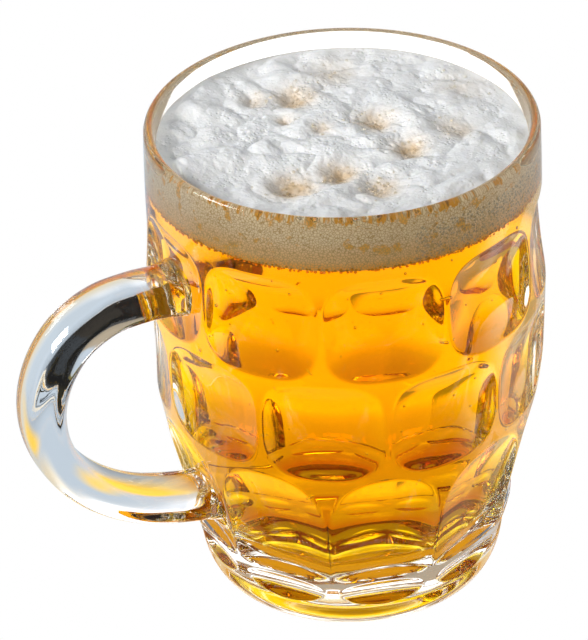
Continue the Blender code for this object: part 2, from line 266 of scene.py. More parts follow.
# %% Cage of the mug
BOWL_STEPS = 26
INSIDE_STEPS = 22
LIP_STEPS = 16
NECK_STEPS = 14
FOOT_STEPS = 8
HOLLOW_STEPS = 20
# The pressed wall from the top down: from, to, and the steps between
PRESSED_LEVELS = ((*UPPER_ROW[::-1], 34), (*MIDDLE_ROW[::-1], 34), (PANEL_ROW[1], SILL_ZONE[1], 36),
                  (*SILL_ZONE[::-1], 24), (SILL_ZONE[0], OVAL_ROW[0], 14))


def mug_profile():
    """Stations from the middle of the inside, over the rim, to the middle of the underside. The two
    numbers with them say from which station up to which one the wall is pressed."""
    lip = RIM_WALL / 2.0
    shoulder = MUG_HEIGHT - lip
    lip_middle = (OUTSIDE_RADII[-1] + INSIDE_RADII[-1]) / 2.0
    profile = bowl_points(0.0, BOWL_STEPS)[::-1]
    profile += wall_points(inside_radius, INSIDE_HEIGHTS[0], shoulder, INSIDE_STEPS)
    profile += [(lip_middle - lip * math.cos(t), shoulder + lip * math.sin(t))
                for t in np.linspace(0.0, math.pi, LIP_STEPS + 1)[1:-1]]
    profile += wall_points(outside_radius, shoulder, UPPER_ROW[1], NECK_STEPS)
    first_pressed = len(profile)
    for high, low, count in PRESSED_LEVELS:
        profile += wall_points(outside_radius, high, low, count)[1:]
    after_pressed = len(profile)
    profile += wall_points(outside_radius, OVAL_ROW[0], FOOT_EDGE, FOOT_STEPS)[1:]
    edge_middle = outside_radius(FOOT_EDGE) - FOOT_EDGE
    profile += [(edge_middle + FOOT_EDGE * math.cos(t), FOOT_EDGE - FOOT_EDGE * math.sin(t))
                for t in np.linspace(0.0, math.pi / 2.0, FOOT_STEPS + 1)[1:]]
    for radius in np.linspace(HOLLOW_RADII[1], 0.0, HOLLOW_STEPS):
        inward = min((HOLLOW_RADII[1] - radius) / (HOLLOW_RADII[1] - HOLLOW_RADII[0]), 1.0)
        profile.append((radius, HOLLOW_DEPTH * inward * inward * (3.0 - 2.0 * inward)))
    return profile, first_pressed, after_pressed


def mug_cage():
    """The mug without its dimples or handle, its grid already bent to the dimples' outlines."""
    profile, first_pressed, after_pressed = mug_profile()
    radii, heights, angles = turned_grid(profile, COLUMNS)
    levels = np.arange(len(profile))[:, None] * np.ones(COLUMNS, int)
    pressed = (levels >= first_pressed) & (levels < after_pressed)
    flat_heights = heights.copy()
    for row, turned, rib, above, below in CELLS:
        inside = pressed & (flat_heights > row[0] + HAIR) & (flat_heights < row[1] - HAIR)
        moved = place_in_cell(angles[inside], heights[inside], row, turned, rib, above, below)
        angles[inside], heights[inside] = moved
    low = pressed & (flat_heights < PANEL_ROW[1])
    heights[low] = lift_to_sill(angles[low], heights[low])
    radii[pressed] = outside_radius(heights[pressed])
    mesh = grid_mesh("glass_mug_cage", radii, heights, angles)
    set_attribute(mesh, "outer_wall", np.concatenate([[0.0], pressed[1:-1].ravel(), [0.0]]))
    print("mug cage", len(mesh.vertices), "points")
    return mesh


# %% [markdown]
# Geometry Nodes press the dimples, because every dimple follows one rule. A formula in nodes is hard to
# read as boxes and wires, so a small Field class lets a tree be written as arithmetic: each + or * adds a
# Math node and links it. The same helpers build the shapes, the materials and the studio.

# %% Formulas in nodes
def add_node(tree, kind, inputs, **options):
    """Add a node, set its options, and feed its inputs with values or other nodes' outputs."""
    node = tree.nodes.new(kind)
    for name, value in options.items():
        setattr(node, name, value)
    for name, value in inputs.items():
        if isinstance(value, Field):
            value = value.socket
        if isinstance(value, bpy.types.NodeSocket):
            tree.links.new(value, node.inputs[name])
        else:
            node.inputs[name].default_value = value
    return node


class Field:
    """A number in a node tree that can stand in a formula."""

    def __init__(self, tree, socket):
        self.tree = tree
        self.socket = socket

    def math(self, operation, *others):
        inputs = dict(enumerate((self, *others)))
        return Field(self.tree, add_node(self.tree, "ShaderNodeMath", inputs, operation=operation).outputs[0])

    def __add__(self, other):
        return self.math("ADD", other)

    def __sub__(self, other):
        return self.math("SUBTRACT", other)

    def __mul__(self, other):
        return self.math("MULTIPLY", other)

    def __truediv__(self, other):
        return self.math("DIVIDE", other)

    def __pow__(self, other):
        return self.math("POWER", other)

    def __neg__(self):
        return self.math("MULTIPLY", -1.0)

    def __abs__(self):
        return self.math("ABSOLUTE")


# %% [markdown]
# A Geometry Nodes tree works like a tool with dials: each size is a named input, which can be turned in
# the modifier panel too. Here every tree is run once on an object, and what comes out is kept as a plain
# mesh, because the exported part can't hold instances.

# %% Trees with named sizes
def new_tree(name, sizes):
    """A Geometry Nodes tree with a named input for each size, and those inputs as fields."""
    tree = bpy.data.node_groups.new(name, "GeometryNodeTree")
    tree.interface.new_socket("Geometry", in_out="INPUT", socket_type="NodeSocketGeometry")
    for label, value in sizes.items():
        kind = "NodeSocketInt" if isinstance(value, int) else "NodeSocketFloat"
        tree.interface.new_socket(label, in_out="INPUT", socket_type=kind).default_value = value
    tree.interface.new_socket("Geometry", in_out="OUTPUT", socket_type="NodeSocketGeometry")
    source = tree.nodes.new("NodeGroupInput")
    fields = {label: Field(tree, source.outputs[label]) for label in sizes}
    return tree, source.outputs["Geometry"], fields


def finish_tree(tree, geometry, material):
    """Every tree ends the same way: instances made real, and one material."""
    real = add_node(tree, "GeometryNodeRealizeInstances", {"Geometry": geometry})
    paint = add_node(tree, "GeometryNodeSetMaterial",
                     {"Geometry": real.outputs["Geometry"], "Material": material})
    add_node(tree, "NodeGroupOutput", {"Geometry": paint.outputs["Geometry"]})


def grown(obj, tree, values):
    """Run a tree on an object and return the result as a plain mesh; the modifier goes again."""
    modifier = obj.modifiers.new(tree.name, "NODES")
    modifier.node_group = tree
    sockets = {item.name: item.identifier for item in tree.interface.items_tree if item.in_out == "INPUT"}
    for label, value in values.items():
        modifier[sockets[label]] = value
    evaluated = obj.evaluated_get(bpy.context.evaluated_depsgraph_get())
    mesh = bpy.data.meshes.new_from_object(evaluated)
    obj.modifiers.remove(modifier)
    return mesh


def named_field(tree, name):
    """A mesh attribute as a field."""
    node = add_node(tree, "GeometryNodeInputNamedAttribute", {"Name": name}, data_type="FLOAT")
    return Field(tree, node.outputs["Attribute"])


# %% [markdown]
# Clear glass is one Principled shader with full transmission. Real pressed glass is never quite flat: a
# faint ripple from the mould bends what is seen in it a little. It could be modelled, but a bump is
# enough. It is very weak, because the light goes through four surfaces and each one adds to it.

# %% Clear glass with a faint ripple
WHITE = (1.0, 1.0, 1.0)
GLASS_INDEX = 1.5


def ripple_group():
    """Height that swells slowly over the surface, for glass and anything poured."""
    group = bpy.data.node_groups.new("faint_ripple", "ShaderNodeTree")
    group.interface.new_socket("Size", in_out="INPUT", socket_type="NodeSocketFloat")
    group.interface.new_socket("Height", in_out="OUTPUT", socket_type="NodeSocketFloat")
    size = group.nodes.new("NodeGroupInput").outputs["Size"]
    place = group.nodes.new("ShaderNodeTexCoord").outputs["Object"]
    scale = add_node(group, "ShaderNodeMath", {0: 1.0, 1: size}, operation="DIVIDE").outputs[0]
    swell = add_node(group, "ShaderNodeTexNoise",
                     {"Vector": place, "Scale": scale, "Detail": 2.0, "Roughness": 0.4})
    add_node(group, "NodeGroupOutput", {"Height": swell.outputs["Fac"]})
    return group


RIPPLE = ripple_group()


def add_ripple(material, size, distance):
    tree = material.node_tree
    ripple = add_node(tree, "ShaderNodeGroup", {"Size": size}, node_tree=RIPPLE)
    bump = add_node(tree, "ShaderNodeBump",
                    {"Strength": 1.0, "Distance": distance, "Height": ripple.outputs["Height"]})
    tree.links.new(bump.outputs["Normal"], tree.nodes["Principled BSDF"].inputs["Normal"])


def new_material(name):
    material = bpy.data.materials.new(name)
    material.use_nodes = True
    return material


def clear_material(name, colour, roughness, ior, transmission):
    """A material that light goes through: glass, beer or a bead."""
    material = new_material(name)
    shader = material.node_tree.nodes["Principled BSDF"].inputs
    shader["Base Color"].default_value = (*colour, 1.0)
    shader["Roughness"].default_value = roughness
    shader["IOR"].default_value = ior
    shader["Transmission Weight"].default_value = transmission
    return material


CLEAR_GLASS = clear_material("clear_glass", WHITE, roughness=0.0, ior=GLASS_INDEX, transmission=1.0)
add_ripple(CLEAR_GLASS, size=9.0 * MM, distance=0.01 * MM)
print("clear glass, index", GLASS_INDEX)

# %% [markdown]
# The pressing rule. In its own cell every dimple is a shallow bowl whose depth falls off towards a
# rounded square. The tall panels below are arched at the top and end on a curved sill, and under each
# panel a small oval is pressed into the thick base. A smooth maximum joins them, so the ribs between
# them come out rounded as fire-polished glass is, and not knife-sharp.

# %% Press the dimples
DIMPLE_BOWL = 2.4
PANEL_SPRING = 36.0 * MM
SILL_START = 0.5 * MM
SILL_BLEND = 1.2 * MM
SILL_DEPTH = 0.75
OVAL_MIDDLE = 12.4 * MM
OVAL_HALF_HEIGHT = 4.3 * MM
OVAL_HALF_ANGLE = math.radians(15.5)


def press_tree(material):
    sizes = {"Dimples": float(DIMPLES), "Dimple Depth": 3.3 * MM, "Panel Depth": 3.6 * MM,
             "Oval Depth": 1.9 * MM, "Rib": RIB, "Panel Rib": PANEL_RIB, "Edge Softness": 0.18 * MM}
    tree, geometry, size = new_tree("press_dimples", sizes)
    position = tree.nodes.new("GeometryNodeInputPosition").outputs["Position"]
    split = add_node(tree, "ShaderNodeSeparateXYZ", {"Vector": position})
    x, y, height = (Field(tree, split.outputs[axis]) for axis in "XYZ")
    radius = (x * x + y * y) ** 0.5
    turn = y.math("ARCTAN2", x)
    pitch = size["Dimples"].math("MULTIPLY", 1.0 / math.tau).math("POWER", -1.0)

    def across_cell(turned):
        shifted = turn / pitch - turned / 2.0
        return (shifted - shifted.math("ROUND")) * pitch

    def rounded(across, up, power):
        return (abs(across) ** power + abs(up) ** power) ** (1.0 / power)

    def dimple(row, turned):
        half_angle = pitch / 2.0 - size["Rib"] / radius / 2.0
        up = (height * 2.0 - row[0] - row[1]) / (-(size["Rib"]) + (row[1] - row[0]))
        distance = rounded(across_cell(turned) / half_angle, up, DIMPLE_POWER)
        return size["Dimple Depth"] * (-(distance ** DIMPLE_BOWL) + 1.0)

    def panel():
        across = across_cell(0.0)
        half_angle = pitch / 2.0 - size["Panel Rib"] / radius / 2.0
        up = (height - PANEL_SPRING).math("MAXIMUM", 0.0) / (PANEL_ROW[1] - PANEL_SPRING - RIB / 2.0)
        distance = rounded(across / half_angle, up, PANEL_ARCH_POWER)
        share = (abs(across) / (pitch / 2.0)).math("MINIMUM", 1.0)
        sill = (-(share * share) + 1.0) * SILL_RISE + PANEL_ROW[0]
        above_sill = ((height - sill + SILL_START) / SILL_BLEND).math("MINIMUM", 1.0).math("MAXIMUM", 0.0)
        fade = above_sill * above_sill * (-(above_sill * 2.0) + 3.0)
        towards_arch = ((height - PANEL_ROW[0]) / (PANEL_SPRING - PANEL_ROW[0])).math("MINIMUM", 1.0)
        depth = size["Panel Depth"] * (towards_arch * (1.0 - SILL_DEPTH) + SILL_DEPTH)
        return depth * (-(distance * distance) + 1.0) * fade

    def oval():
        across = across_cell(0.0) / OVAL_HALF_ANGLE
        up = (height - OVAL_MIDDLE) / OVAL_HALF_HEIGHT
        return size["Oval Depth"] * (-(across * across + up * up) + 1.0)

    depth = dimple(UPPER_ROW, 0.0)
    for other in (dimple(MIDDLE_ROW, 1.0), panel(), oval()):
        depth = depth.math("SMOOTH_MAX", other, size["Edge Softness"])
    depth = depth.math("SMOOTH_MAX", 0.0, size["Edge Softness"])
    scale = -(depth * named_field(tree, "outer_wall")) / radius.math("MAXIMUM", MM)
    offset = add_node(tree, "ShaderNodeCombineXYZ", {"X": x * scale, "Y": y * scale}).outputs["Vector"]
    move = add_node(tree, "GeometryNodeSetPosition", {"Geometry": geometry, "Offset": offset})
    finish_tree(tree, move.outputs["Geometry"], material)
    return tree


cage = add_object("glass_mug_cage", mug_cage())
pressed = grown(cage, press_tree(CLEAR_GLASS), {})
bpy.data.objects.remove(cage)
mug = add_object("dimpled_glass_mug", pressed)
print("pressed mug", len(pressed.polygons), "faces")

# %% [markdown]
# The handle is one bar of glass with a rounded back and a flatter inside. It is a loft: the same closed
# section set along a smooth line, swelling where it runs into the wall. It is fused to the mug with a
# Boolean union, because the real mug is one piece of glass and light crosses the joint without a border.

# %% Handle
HANDLE_LINE = np.array((
    (45.4, 96.4), (51.0, 96.7), (59.0, 97.3), (68.0, 96.6), (76.5, 92.6), (82.6, 85.6), (86.0, 77.0),
    (86.5, 68.0), (84.4, 59.2), (79.6, 50.4), (72.2, 42.4), (62.6, 36.0), (51.5, 31.9), (39.8, 29.1))) * MM
HANDLE_HALF_THICKNESS = 5.1 * MM
HANDLE_HALF_WIDTH = 7.6 * MM
HANDLE_FLARE = 0.22
HANDLE_FLARE_LENGTH = 9.0 * MM
HANDLE_STEPS_BETWEEN = 10
HANDLE_SIDES = 48
HANDLE_OUTER_POWER = 2.4
HANDLE_INNER_POWER = 4.0
TANGENT_REACH = 0.02


def point_on_line(points, position):
    """A smooth curve through the points; position counts them, with fractions between."""
    i = min(int(position), len(points) - 2)
    t = position - i
    start, end = points[i], points[i + 1]
    before = points[i - 1] if i > 0 else start * 2.0 - end
    after = points[i + 2] if i + 2 < len(points) else end * 2.0 - start
    leave, arrive = (end - before) / 2.0, (after - start) / 2.0
    return (start * (2.0 * t ** 3 - 3.0 * t * t + 1.0) + leave * (t ** 3 - 2.0 * t * t + t)
            + end * (3.0 * t * t - 2.0 * t ** 3) + arrive * (t ** 3 - t * t))


def handle_section(middle, outward, swell):
    turn = np.arange(HANDLE_SIDES) * math.tau / HANDLE_SIDES
    away, sideways = np.cos(turn), np.sin(turn)
    power = np.where(away > 0.0, HANDLE_OUTER_POWER, HANDLE_INNER_POWER)
    size = swell / (abs(away) ** power + abs(sideways) ** power) ** (1.0 / power)
    offset = (away * size * HANDLE_HALF_THICKNESS)[:, None] * outward
    return np.stack([-middle[0] - offset[:, 0], sideways * size * HANDLE_HALF_WIDTH,
                     middle[1] + offset[:, 1]], -1)


def handle_mesh():
    last = len(HANDLE_LINE) - 1
    rings = []
    for position in np.linspace(0.0, last, last * HANDLE_STEPS_BETWEEN + 1):
        middle = point_on_line(HANDLE_LINE, position)
        ahead = point_on_line(HANDLE_LINE, min(position + TANGENT_REACH, last))
        behind = point_on_line(HANDLE_LINE, max(position - TANGENT_REACH, 0.0))
        along = (ahead - behind) / np.linalg.norm(ahead - behind)
        ends = np.linalg.norm(HANDLE_LINE[[0, -1]] - middle, axis=1)
        near = max(1.0 - ends.min() / HANDLE_FLARE_LENGTH, 0.0)
        wall_way = np.array((1.0, 0.0)) if position < last / 2.0 else np.array((-1.0, 0.0))
        upright = near * near * (3.0 - 2.0 * near)
        along = along * (1.0 - upright) + wall_way * upright
        along /= np.linalg.norm(along)
        outward = np.array((-along[1], along[0]))
        rings.append(handle_section(middle, outward, 1.0 + HANDLE_FLARE * near * near))
    points = np.concatenate(rings)
    here = np.arange(HANDLE_SIDES)
    nxt = (here + 1) % HANDLE_SIDES
    starts = HANDLE_SIDES * np.arange(len(rings) - 1)[:, None]
    above = starts + HANDLE_SIDES
    quads = np.stack([starts + here, starts + nxt, above + nxt, above + here], -1)
    caps = [tuple(here[::-1]), tuple(here + len(points) - HANDLE_SIDES)]
    mesh = bpy.data.meshes.new("handle")
    mesh.from_pydata(points.tolist(), [], quads.reshape(-1, 4).tolist() + caps)
    made = bmesh.new()
    made.from_mesh(mesh)
    bmesh.ops.recalc_face_normals(made, faces=made.faces)
    made.to_mesh(mesh)
    made.free()
    return mesh


def fuse(body, other):
    """Join two closed solids into one and take the second one away."""
    union = body.modifiers.new("Fuse", "BOOLEAN")
    union.operation = "UNION"
    union.solver = "MANIFOLD"
    union.object = other
    evaluated = body.evaluated_get(bpy.context.evaluated_depsgraph_get())
    mesh = bpy.data.meshes.new_from_object(evaluated)
    body.modifiers.remove(union)
    body.data = mesh
    bpy.data.objects.remove(other)


def smooth_shading(obj, degrees):
    obj.data.shade_smooth()
    obj.data.set_sharp_from_angle(angle=math.radians(degrees))


fuse(mug, add_object("handle", handle_mesh()))
mug.data.materials.clear()
mug.data.materials.append(CLEAR_GLASS)
smooth_shading(mug, 38.0)
print("fused mug", len(mug.data.polygons), "faces")

# %% [markdown]
# The beer is a plain turned solid. It reaches a hair into the glass, so that no film of air is left
# between them: a renderer would draw that film as a silver skin. Its colour is not painted on. Light
# loses a little red, more green and nearly all blue on every centimetre, which gives pale yellow at thin
# places and deep amber at thick ones.

# %% Beer
OVERLAP = 0.15 * MM
BEER_COLUMNS = 180
BEER_WALL_STEPS = 40
BEER_INTO_FOAM = 0.4 * MM
BEER_INDEX = 1.34
BEER_PASSES = (0.99, 0.907, 0.02)
BEER_DENSITY = 135.0


def beer_material():
    material = clear_material("golden_lager", WHITE, roughness=0.0, ior=BEER_INDEX, transmission=1.0)
    tree = material.node_tree
    absorb = add_node(tree, "ShaderNodeVolumeAbsorption",
                      {"Color": (*BEER_PASSES, 1.0), "Density": BEER_DENSITY})
    tree.links.new(absorb.outputs["Volume"], tree.nodes["Material Output"].inputs["Volume"])
    add_ripple(material, size=12.0 * MM, distance=0.004 * MM)
    return material


def make_beer():
    top = beer_top + BEER_INTO_FOAM
    wall = wall_points(lambda h: inside_radius(h) + OVERLAP, INSIDE_HEIGHTS[0], top, BEER_WALL_STEPS)
    profile = [(0.0, top), (wall[-1][0] / 2.0, top)] + wall[::-1] + bowl_points(OVERLAP, BOWL_STEPS)
    beer = add_object("golden_beer", turned_mesh("golden_beer", profile, BEER_COLUMNS))
    beer.data.materials.append(beer_material())
    smooth_shading(beer, 50.0)
    return beer


beer = make_beer()
print("beer", len(beer.data.polygons), "faces")

# %% [markdown]
# The foam is the only matt thing here. It is white on top and beige in the hollows, and against the glass
# it is a honeycomb of small bubbles, golden where beer still drains through it. A painted image would
# not follow the shape, so the material reads two numbers that are kept on the mesh: how deep in a hollow
# a point is, and whether it lies against the glass.

# %% Mixing colours in nodes
def between(tree, value, low, high):
    """A share that runs smoothly from 0 at low to 1 at high."""
    inputs = {"Value": value, "From Min": low, "From Max": high}
    ramp = add_node(tree, "ShaderNodeMapRange", inputs, interpolation_type="SMOOTHSTEP")
    return Field(tree, ramp.outputs["Result"])


def colour_mix(tree, share, first, second):
    """Two colours, given as tuples or sockets, mixed by a share."""
    inputs = {"Factor": share}
    for slot, colour in ((6, first), (7, second)):
        inputs[slot] = (*colour, 1.0) if isinstance(colour, tuple) else colour
    return add_node(tree, "ShaderNodeMix", inputs, data_type="RGBA").outputs[2]


# %% Finish of the foam
FOAM_WHITE = (0.92, 0.92, 0.91)
# Beige of the hollows: partly the foam's own colour, partly painted shade
FOAM_BEIGE_AND_SHADE = (0.72, 0.54, 0.34)
BAND_HIGH = (0.88, 0.74, 0.54)
BAND_MIDDLE = (0.86, 0.58, 0.29)
BAND_LOW = (0.95, 0.42, 0.05)
BAND_SPOT = (0.85, 0.45, 0.10)
BAND_EDGE = (0.55, 0.36, 0.16)
LACING_GOLD = (0.75, 0.36, 0.05)
LACING_BROWN = (0.34, 0.15, 0.03)
LOW_TO_MIDDLE = (114.9 * MM, 118.2 * MM)
MIDDLE_TO_HIGH = (118.0 * MM, 124.0 * MM)
CLOUD_SPOTS = (0.58, 0.66)
BUBBLE_WALLS = (0.0, 0.16)
GOLD_DROPS = (0.48, 0.58)
BROWN_DROPS = (0.62, 0.68)
PIT_SLOPE = (0.12, 0.42)
PIT_PATCHES = (0.44, 0.6)
DROPS_HEIGHT = 127.9 * MM
DROPS_GROWTH = 130.0
CLOUD_SCALE = 260.0
HONEYCOMB_SCALE = 1500.0
DROPS_SCALE = 850.0
FROTH_SCALE = 900.0
PATCH_SCALE = 120.0
GRAIN_SCALE = 1300.0


def foam_material():
    """White on top, beige in the hollows, and a honeycomb of small bubbles against the glass."""
    material = new_material("white_foam")
    tree = material.node_tree
    shader = tree.nodes["Principled BSDF"]
    place = tree.nodes.new("ShaderNodeTexCoord").outputs["Object"]
    height = Field(tree, add_node(tree, "ShaderNodeSeparateXYZ", {"Vector": place}).outputs["Z"])

    def kept(name):
        return Field(tree, add_node(tree, "ShaderNodeAttribute", {}, attribute_name=name).outputs["Fac"])

    def noise(scale, detail):
        inputs = {"Vector": place, "Scale": scale, "Detail": detail}
        return Field(tree, add_node(tree, "ShaderNodeTexNoise", inputs).outputs["Fac"])

    def bubbles(scale, feature):
        cells = add_node(tree, "ShaderNodeTexVoronoi", {"Vector": place, "Scale": scale}, feature=feature)
        return Field(tree, cells.outputs["Distance"])

    hollow = kept("hollow")
    cloud = noise(CLOUD_SCALE, 4.0)
    # Beige that grows with the depth of a hollow: partly the foam's own colour, as its bubbles are larger
    # there, and partly painted shade in the hollow
    beige = hollow * (cloud * 1.6 + 0.1)
    top = colour_mix(tree, beige.math("MINIMUM", 1.0), FOAM_WHITE, FOAM_BEIGE_AND_SHADE)
    band = colour_mix(tree, between(tree, height, *LOW_TO_MIDDLE), BAND_LOW, BAND_MIDDLE)
    band = colour_mix(tree, between(tree, height, *MIDDLE_TO_HIGH), band, BAND_HIGH)
    band = colour_mix(tree, between(tree, cloud, *CLOUD_SPOTS), band, BAND_SPOT)
    cells = bubbles(HONEYCOMB_SCALE, "DISTANCE_TO_EDGE")
    band = colour_mix(tree, between(tree, cells, *BUBBLE_WALLS), BAND_EDGE, band)
    drops = noise(DROPS_SCALE, 3.0) + (height - DROPS_HEIGHT) * DROPS_GROWTH
    band = colour_mix(tree, between(tree, drops, *GOLD_DROPS), band, LACING_GOLD)
    band = colour_mix(tree, between(tree, drops, *BROWN_DROPS), band, LACING_BROWN)
    tree.links.new(colour_mix(tree, kept("against_glass"), top, band), shader.inputs["Base Color"])
    shader.inputs["Roughness"].default_value = 0.4
    shader.inputs["Subsurface Weight"].default_value = 0.15
    shader.inputs["Subsurface Radius"].default_value = (1.0, 0.85, 0.6)
    shader.inputs["Subsurface Scale"].default_value = 0.6 * MM
    froth = bubbles(FROTH_SCALE, "F1")
    patch = between(tree, noise(PATCH_SCALE, 3.0), *PIT_PATCHES)
    pits = between(tree, froth, *PIT_SLOPE) * (patch * 0.8 + 0.2)
    rough = pits * 0.5 + noise(GRAIN_SCALE, 4.0) * 0.6 + hollow * froth * 0.5
    bump = add_node(tree, "ShaderNodeBump", {"Strength": 1.0, "Distance": 0.24 * MM, "Height": rough})
    tree.links.new(bump.outputs["Normal"], shader.inputs["Normal"])
    return material


WHITE_FOAM = foam_material()
print("foam finish", len(WHITE_FOAM.node_tree.nodes), "nodes")

# %% [markdown]
# The head is a slab whose top rises and sinks in soft mounds, with hollows where big bubbles burst. The
# mounds could be sculpted. Here they are placed one by one in a list, as it is easy to read and to change.
# The finer folds and pits follow a rule, so Geometry Nodes add them: the absolute value of a noise makes
# round puffs with creases between, which is just how foam folds.

# %% Shape of the foam
FOAM_LEVEL = 124.3 * MM
FOAM_CONTACT_RISE = 0.7 * MM
FOAM_CONTACT_WIDTH = 3.0 * MM
FOAM_INTO_BEER = 0.3 * MM
FOAM_COLUMNS = 440
FOAM_RINGS = 200
FOAM_SIDE_STEPS = 16
HOLLOW_FULL = 2.2
UNDERSIDE_RIM = 1.2 * MM
LEVEL_HAIR = 0.01 * MM
WARP_SCALE = 90.0
WARP = 6.0 * MM
# Mounds and hollows of the foam: x, y, rise, half-width, all in millimetres
FOAM_RELIEF = (
    (-34.0, 6.0, 1.1, 9.0), (-28.0, 27.0, 0.9, 8.0), (-22.0, 2.0, 1.0, 4.5), (-26.0, -28.0, 0.9, 7.0),
    (-14.0, 38.0, 0.7, 6.0), (3.0, 13.0, 0.8, 6.5), (-5.0, -5.0, 0.7, 5.0), (4.0, -34.0, 0.8, 7.0),
    (24.0, -2.0, 0.6, 7.0), (28.0, 24.0, 0.5, 10.0), (20.0, -30.0, 0.7, 7.0), (-22.0, -15.0, -3.1, 5.0),
    (-9.0, -15.0, -2.5, 4.5), (0.0, 24.0, -2.4, 5.0), (-2.5, 6.0, -1.3, 2.6), (-8.0, 15.0, -1.4, 2.6),
    (11.0, 3.0, -2.2, 4.5), (11.5, -13.0, -2.6, 4.2), (26.0, -11.0, -1.4, 4.5), (-4.0, -26.0, -2.0, 4.5),
    (14.0, 30.0, -0.9, 6.0), (-10.0, 28.0, -1.2, 3.5), (38.0, 6.0, -0.7, 6.0), (-16.0, -38.0, -0.8, 4.0))


def foam_top(x, y):
    """Height of the foam and how deep in a hollow each point is, from 0 to 1."""
    height = np.full_like(x, FOAM_LEVEL)
    hollow = np.zeros_like(x)
    for middle_x, middle_y, rise, half_width in FOAM_RELIEF:
        away = np.hypot(x / MM - middle_x, y / MM - middle_y) / half_width
        height += rise * MM * np.exp(-away * away)
        hollow = np.maximum(hollow, -rise / HOLLOW_FULL * np.exp(-away * away))
    to_wall = inside_radius(FOAM_LEVEL) - np.hypot(x, y)
    return height + FOAM_CONTACT_RISE * np.exp(-to_wall / FOAM_CONTACT_WIDTH), np.clip(hollow, 0.0, 1.0)


def foam_tree(material):
    """Puffs and folds over the whole top, and pits in a random share of cells, all fading out at the glass.
    """
    sizes = {"Puff Size": 14.0 * MM, "Puff Height": 7.0 * MM, "Fold Size": 4.5 * MM, "Fold Height": 1.5 * MM,
             "Pit Size": 2.3 * MM, "Pit Depth": 0.5 * MM}
    tree, geometry, size = new_tree("foam_folds", sizes)
    position = tree.nodes.new("GeometryNodeInputPosition").outputs["Position"]
    warp = add_node(tree, "ShaderNodeTexNoise", {"Vector": position, "Scale": WARP_SCALE, "Detail": 2.0})
    push = add_node(tree, "ShaderNodeVectorMath", {0: warp.outputs["Color"], 1: (WARP,) * 3},
                    operation="MULTIPLY")
    warped = add_node(tree, "ShaderNodeVectorMath", {0: position, 1: push.outputs["Vector"]})
    pushed = warped.outputs["Vector"]

    def puffs(label, detail):
        inputs = {"Vector": pushed, "Scale": size[label] ** -1.0, "Detail": detail, "Roughness": 0.5}
        return abs(Field(tree, add_node(tree, "ShaderNodeTexNoise", inputs).outputs["Fac"]) - 0.5)

    cells = add_node(tree, "ShaderNodeTexVoronoi", {"Vector": pushed, "Scale": size["Pit Size"] ** -1.0})
    pit = (-(Field(tree, cells.outputs["Distance"]) * 2.4) + 1.0).math("MAXIMUM", 0.0)
    chosen = add_node(tree, "ShaderNodeSeparateXYZ", {"Vector": cells.outputs["Color"]}).outputs["X"]
    pit = pit * (Field(tree, chosen) * 2.5 - 1.3).math("MAXIMUM", 0.0).math("MINIMUM", 1.0)
    rise = puffs("Puff Size", 1.0) * size["Puff Height"] + puffs("Fold Size", 2.0) * size["Fold Height"]
    rise = (rise - pit * size["Pit Depth"]) * named_field(tree, "free_top")
    offset = add_node(tree, "ShaderNodeCombineXYZ", {"Z": rise}).outputs["Vector"]
    move = add_node(tree, "GeometryNodeSetPosition", {"Geometry": geometry, "Offset": offset})
    finish_tree(tree, move.outputs["Geometry"], material)
    return tree


def make_foam():
    bottom = foam_bottom - FOAM_INTO_BEER
    side = wall_points(lambda h: inside_radius(h) + OVERLAP, bottom, FOAM_LEVEL, FOAM_SIDE_STEPS)
    top = [(radius, FOAM_LEVEL) for radius in np.linspace(0.0, side[-1][0], FOAM_RINGS)[:-1]]
    profile = top + side[::-1] + [(side[0][0] - MM, bottom), (side[0][0] / 2.0, bottom), (0.0, bottom)]
    mesh = turned_mesh("foam_crown", profile, FOAM_COLUMNS)
    points = np.empty(len(mesh.vertices) * 3)
    mesh.vertices.foreach_get("co", points)
    points = points.reshape(-1, 3)
    on_top = points[:, 2] > FOAM_LEVEL - LEVEL_HAIR
    height, hollow = foam_top(points[:, 0], points[:, 1])
    to_wall = inside_radius(FOAM_LEVEL) - np.hypot(points[:, 0], points[:, 1])
    points[on_top, 2] = height[on_top]
    mesh.vertices.foreach_set("co", points.ravel())
    set_attribute(mesh, "hollow", np.where(on_top, hollow, 0.0))
    set_attribute(mesh, "free_top", np.where(on_top, np.clip(to_wall / FOAM_CONTACT_WIDTH, 0.0, 1.0), 0.0))
    underneath = (points[:, 2] < bottom + LEVEL_HAIR) & (to_wall > UNDERSIDE_RIM)
    set_attribute(mesh, "against_glass", np.where((on_top & (to_wall > 0.0)) | underneath, 0.0, 1.0))
    mesh.update()
    foam = add_object("foam_crown", mesh)
    foam.data = grown(foam, foam_tree(WHITE_FOAM), {})
    smooth_shading(foam, 60.0)
    return foam


foam = make_foam()
print("foam", len(foam.data.polygons), "faces")

# %% [markdown]
# Foam that stood higher while the mug was filled has left a film on the glass under the rim, which is
# called lacing. A stain painted on the glass would be bright on its outer side too, so the film is a real
# one, a fraction of a millimetre thick, with a wavy upper edge and the finish of the foam.

# %% Lacing on the glass
LACING = 0.4 * MM
LACING_OVERLAP = 0.08 * MM
LACING_TURN = (-195.0, -42.0)
LACING_FOOT = 123.2 * MM
LACING_RISE = 5.0
LACING_WAVE = 0.5
LACING_END = 0.3
LACING_COLUMNS = 300
LACING_LEVELS = 12


